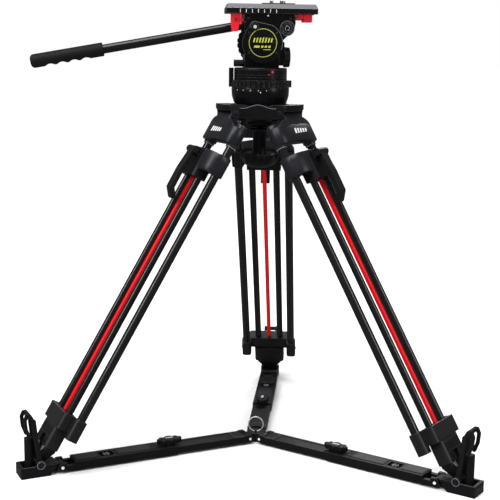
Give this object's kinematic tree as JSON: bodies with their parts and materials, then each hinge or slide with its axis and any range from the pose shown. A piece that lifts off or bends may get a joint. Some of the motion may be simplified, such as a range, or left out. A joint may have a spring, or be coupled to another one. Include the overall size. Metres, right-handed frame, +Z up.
{
  "type": "tripod with fluid head",
  "caption": "Camera tripod with twin-tube folding legs, floor spreader, levelling bowl, fluid pan and tilt head, sliding camera plate and pan bar.",
  "frame": {"origin": "on the floor, under the centre of the spreader hub", "axes": "+Z up; -Y towards the front between the two front legs; the rear leg is on +Y; the head's lens direction is near +X"},
  "size_m": [0.7923, 0.6776, 0.793],
  "materials": {
    "tube_black": "black anodised tube, satin",
    "cast_black": "black powder-coated casting, fine grain",
    "yoke_grey": "dark grey painted casting",
    "red_anodised": "red anodised rod, satin",
    "red_plastic": "red moulded lever",
    "black_plastic": "black moulded plastic",
    "rubber_black": "black rubber",
    "steel": "bright steel",
    "bright_ring": "polished wire",
    "head_black": "black satin paint, slightly glossy",
    "plate_grey": "dark anodised plate with a bright bevel",
    "bubble_green": "spirit level vial"
  },
  "bodies": {
    "crown": {"bowl_crown": "cast_black", "leg_hinge_pins": "cast_black"},
    "leg_a": {"yoke_a": "yoke_grey", "outer_frame_a": "tube_black"},
    "mid_a": {"collar_a": "cast_black", "inner_frame_a": "tube_black", "lock_rod_a": "red_anodised"},
    "lever_a": {"lock_lever_a": "black_plastic"},
    "foot_a": {"foot_a": "cast_black"},
    "shoe_a": {"foot_shoe_a": "black_plastic"},
    "strap_a": {"strap_a": "rubber_black"},
    "arm_inner_a": {"arm_inner_a": "black_plastic"},
    "arm_outer_a": {"arm_outer_a": "black_plastic"},
    "wing_a": {"wing_knob_a": "black_plastic"},
    "leg_b": {"yoke_b": "yoke_grey", "outer_frame_b": "tube_black"},
    "mid_b": {"collar_b": "cast_black", "inner_frame_b": "tube_black", "lock_rod_b": "red_anodised"},
    "lever_b": {"lock_lever_b": "black_plastic"},
    "foot_b": {"foot_b": "cast_black"},
    "shoe_b": {"foot_shoe_b": "black_plastic"},
    "strap_b": {"strap_b": "rubber_black"},
    "arm_inner_b": {"arm_inner_b": "black_plastic"},
    "arm_outer_b": {"arm_outer_b": "black_plastic"},
    "wing_b": {"wing_knob_b": "black_plastic"},
    "leg_c": {"yoke_c": "yoke_grey", "outer_frame_c": "tube_black"},
    "mid_c": {"collar_c": "cast_black", "inner_frame_c": "tube_black", "lock_rod_c": "red_anodised"},
    "lever_c": {"lock_lever_c": "black_plastic"},
    "foot_c": {"foot_c": "cast_black"},
    "shoe_c": {"foot_shoe_c": "black_plastic"},
    "strap_c": {"strap_c": "rubber_black"},
    "arm_inner_c": {"arm_inner_c": "black_plastic"},
    "arm_outer_c": {"arm_outer_c": "black_plastic"},
    "wing_c": {"wing_knob_c": "black_plastic"},
    "hub": {"spreader_hub": "black_plastic"},
    "ring": {"pull_ring": "bright_ring"},
    "cup": {"cup_washer": "cast_black"},
    "level": {"half_ball": "head_black", "pan_base": "head_black"},
    "tie_down": {"tie_down_knob": "black_plastic"},
    "drag_ring": {"pan_drag_ring": "head_black"},
    "pan": {"pan_housing": "head_black", "drum_cover": "head_black", "bubble_level": "bubble_green"},
    "pan_lock": {"pan_lock_knob": "black_plastic"},
    "tilt_dial": {"tilt_drag_dial": "black_plastic"},
    "balance_dial": {"counterbalance_dial": "black_plastic"},
    "tilt": {"tilt_platform": "head_black"},
    "plate": {"camera_plate": "plate_grey", "plate_pad": "rubber_black", "camera_screws": "steel"},
    "plate_lever": {"plate_lock_lever": "red_plastic"},
    "tab": {"release_tab": "red_plastic"},
    "bar": {"pan_bar": "tube_black", "grip": "rubber_black"},
    "bar_knob": {"rosette_knob": "black_plastic"}
  },
  "joints": [
    {"name": "leg_fold_a", "type": "hinge", "parent": "crown", "child": "leg_a", "pos_m": [0, 0.06, 0.597], "axis": [-1, 0, 0], "range_deg": [0, 28]},
    {"name": "leg_extend_a", "type": "slide", "parent": "leg_a", "child": "mid_a", "axis": [0, 0.5154, -0.857], "range_m": [0, 0.395]},
    {"name": "lever_open_a", "type": "hinge", "parent": "mid_a", "child": "lever_a", "pos_m": [0, 0.12626, 0.54116], "axis": [1, 0, 0], "range_deg": [0, 100]},
    {"name": "foot_extend_a", "type": "slide", "parent": "mid_a", "child": "foot_a", "axis": [0, 0.5154, -0.857], "range_m": [0, 0.36]},
    {"name": "shoe_turn_a", "type": "hinge", "parent": "foot_a", "child": "shoe_a", "pos_m": [0, 0.407, 0.02], "axis": [-1, 0, 0], "range_deg": [-28, 0]},
    {"name": "strap_swing_a", "type": "hinge", "parent": "foot_a", "child": "strap_a", "pos_m": [0, 0.407, 0.02], "axis": [-1, 0, 0], "range_deg": [0, 30]},
    {"name": "arm_fold_a", "type": "hinge", "parent": "hub", "child": "arm_inner_a", "pos_m": [0, 0.019, 0.01], "axis": [-1, 0, 0], "range_deg": [0, 84]},
    {"name": "arm_shorten_a", "type": "slide", "parent": "arm_inner_a", "child": "arm_outer_a", "axis": [0, -1, 0], "range_m": [0, 0.132]},
    {"name": "wing_turn_a", "type": "hinge", "parent": "arm_outer_a", "child": "wing_a", "pos_m": [0, 0.171, 0.02], "axis": [0, 0, 1], "range_deg": [0, 180]},
    {"name": "leg_fold_b", "type": "hinge", "parent": "crown", "child": "leg_b", "pos_m": [-0.05196, -0.03, 0.597], "axis": [0.5, -0.866, 0], "range_deg": [0, 28]},
    {"name": "leg_extend_b", "type": "slide", "parent": "leg_b", "child": "mid_b", "axis": [-0.4463, -0.2577, -0.857], "range_m": [0, 0.395]},
    {"name": "lever_open_b", "type": "hinge", "parent": "mid_b", "child": "lever_b", "pos_m": [-0.10934, -0.06313, 0.54116], "axis": [-0.5, 0.866, 0], "range_deg": [0, 100]},
    {"name": "foot_extend_b", "type": "slide", "parent": "mid_b", "child": "foot_b", "axis": [-0.4463, -0.2577, -0.857], "range_m": [0, 0.36]},
    {"name": "shoe_turn_b", "type": "hinge", "parent": "foot_b", "child": "shoe_b", "pos_m": [-0.35247, -0.2035, 0.02], "axis": [0.5, -0.866, 0], "range_deg": [-28, 0]},
    {"name": "strap_swing_b", "type": "hinge", "parent": "foot_b", "child": "strap_b", "pos_m": [-0.35247, -0.2035, 0.02], "axis": [0.5, -0.866, 0], "range_deg": [0, 30]},
    {"name": "arm_fold_b", "type": "hinge", "parent": "hub", "child": "arm_inner_b", "pos_m": [-0.01645, -0.0095, 0.01], "axis": [0.5, -0.866, 0], "range_deg": [0, 84]},
    {"name": "arm_shorten_b", "type": "slide", "parent": "arm_inner_b", "child": "arm_outer_b", "axis": [0.866, 0.5, 0], "range_m": [0, 0.132]},
    {"name": "wing_turn_b", "type": "hinge", "parent": "arm_outer_b", "child": "wing_b", "pos_m": [-0.14809, -0.0855, 0.02], "axis": [0, 0, 1], "range_deg": [0, 180]},
    {"name": "leg_fold_c", "type": "hinge", "parent": "crown", "child": "leg_c", "pos_m": [0.05196, -0.03, 0.597], "axis": [0.5, 0.866, 0], "range_deg": [0, 28]},
    {"name": "leg_extend_c", "type": "slide", "parent": "leg_c", "child": "mid_c", "axis": [0.4463, -0.2577, -0.857], "range_m": [0, 0.395]},
    {"name": "lever_open_c", "type": "hinge", "parent": "mid_c", "child": "lever_c", "pos_m": [0.10934, -0.06313, 0.54116], "axis": [-0.5, -0.866, 0], "range_deg": [0, 100]},
    {"name": "foot_extend_c", "type": "slide", "parent": "mid_c", "child": "foot_c", "axis": [0.4463, -0.2577, -0.857], "range_m": [0, 0.36]},
    {"name": "shoe_turn_c", "type": "hinge", "parent": "foot_c", "child": "shoe_c", "pos_m": [0.35247, -0.2035, 0.02], "axis": [0.5, 0.866, 0], "range_deg": [-28, 0]},
    {"name": "strap_swing_c", "type": "hinge", "parent": "foot_c", "child": "strap_c", "pos_m": [0.35247, -0.2035, 0.02], "axis": [0.5, 0.866, 0], "range_deg": [0, 30]},
    {"name": "arm_fold_c", "type": "hinge", "parent": "hub", "child": "arm_inner_c", "pos_m": [0.01645, -0.0095, 0.01], "axis": [0.5, 0.866, 0], "range_deg": [0, 84]},
    {"name": "arm_shorten_c", "type": "slide", "parent": "arm_inner_c", "child": "arm_outer_c", "axis": [-0.866, 0.5, 0], "range_m": [0, 0.132]},
    {"name": "wing_turn_c", "type": "hinge", "parent": "arm_outer_c", "child": "wing_c", "pos_m": [0.14809, -0.0855, 0.02], "axis": [0, 0, 1], "range_deg": [0, 180]},
    {"name": "hub_lift", "type": "slide", "parent": "crown", "child": "hub", "axis": [0, 0, 1], "range_m": [0, 0.129]},
    {"name": "ring_swing", "type": "hinge", "parent": "hub", "child": "ring", "pos_m": [0, 0, 0.0172], "axis": [1, 0, 0], "range_deg": [-70, 70]},
    {"name": "level_side", "type": "hinge", "parent": "crown", "child": "cup", "pos_m": [0, 0, 0.6185], "axis": [1, 0, 0], "range_deg": [-5, 5]},
    {"name": "level_front", "type": "hinge", "parent": "cup", "child": "level", "pos_m": [0, 0, 0.6185], "axis": [0, 1, 0], "range_deg": [-5, 5]},
    {"name": "tie_down_turn", "type": "hinge", "parent": "level", "child": "tie_down", "pos_m": [0, 0, 0.514], "axis": [0, 0, 1], "continuous": true},
    {"name": "pan_drag_turn", "type": "hinge", "parent": "level", "child": "drag_ring", "pos_m": [0, 0, 0.6515], "axis": [0, 0, 1], "range_deg": [-60, 60]},
    {"name": "pan", "type": "hinge", "parent": "level", "child": "pan", "pos_m": [0, 0, 0.66], "axis": [0, 0, 1], "continuous": true},
    {"name": "pan_lock_turn", "type": "hinge", "parent": "pan", "child": "pan_lock", "pos_m": [-0.03933, -0.00729, 0.6863], "axis": [0.9833, 0.1822, 0], "range_deg": [0, 90]},
    {"name": "tilt_drag_turn", "type": "hinge", "parent": "pan", "child": "tilt_dial", "pos_m": [-0.00547, 0.0295, 0.721], "axis": [-0.1822, 0.9833, 0], "range_deg": [0, 270]},
    {"name": "balance_turn", "type": "hinge", "parent": "pan", "child": "balance_dial", "pos_m": [0.04425, 0.0082, 0.6975], "axis": [0.9833, 0.1822, 0], "range_deg": [0, 270]},
    {"name": "tilt", "type": "hinge", "parent": "pan", "child": "tilt", "pos_m": [0, 0, 0.721], "axis": [-0.1822, 0.9833, 0], "range_deg": [-45, 50]},
    {"name": "plate_slide", "type": "slide", "parent": "tilt", "child": "plate", "axis": [0.9833, 0.1822, 0], "range_m": [-0.025, 0.025]},
    {"name": "plate_lock_turn", "type": "hinge", "parent": "tilt", "child": "plate_lever", "pos_m": [-0.0366, -0.02204, 0.76], "axis": [0, 0, 1], "range_deg": [0, 60]},
    {"name": "release_press", "type": "slide", "parent": "tilt", "child": "tab", "axis": [-0.9833, -0.1822, 0], "range_m": [0, 0.004], "stiffness_N_per_m": 200},
    {"name": "bar_swing", "type": "hinge", "parent": "tilt", "child": "bar", "pos_m": [0.03291, 0.05288, 0.746], "axis": [0.1822, -0.9833, 0], "range_deg": [-60, 25]},
    {"name": "bar_knob_turn", "type": "hinge", "parent": "bar", "child": "bar_knob", "pos_m": [0.03036, 0.06665, 0.746], "axis": [-0.1822, 0.9833, 0], "continuous": true}
  ],
  "couplings": [
    {"joint": "shoe_turn_a", "follows": "leg_fold_a", "ratio": -1},
    {"joint": "arm_fold_a", "follows": "leg_fold_a", "ratio": 2.992},
    {"joint": "arm_shorten_a", "follows": "leg_fold_a", "m_per_rad": 0.27},
    {"joint": "shoe_turn_b", "follows": "leg_fold_a", "ratio": -1},
    {"joint": "arm_fold_b", "follows": "leg_fold_a", "ratio": 2.992},
    {"joint": "arm_shorten_b", "follows": "leg_fold_a", "m_per_rad": 0.27},
    {"joint": "leg_fold_b", "follows": "leg_fold_a", "ratio": 1},
    {"joint": "shoe_turn_c", "follows": "leg_fold_a", "ratio": -1},
    {"joint": "arm_fold_c", "follows": "leg_fold_a", "ratio": 2.992},
    {"joint": "arm_shorten_c", "follows": "leg_fold_a", "m_per_rad": 0.27},
    {"joint": "leg_fold_c", "follows": "leg_fold_a", "ratio": 1},
    {"joint": "hub_lift", "follows": "leg_fold_a", "m_per_rad": 0.26341}
  ]
}
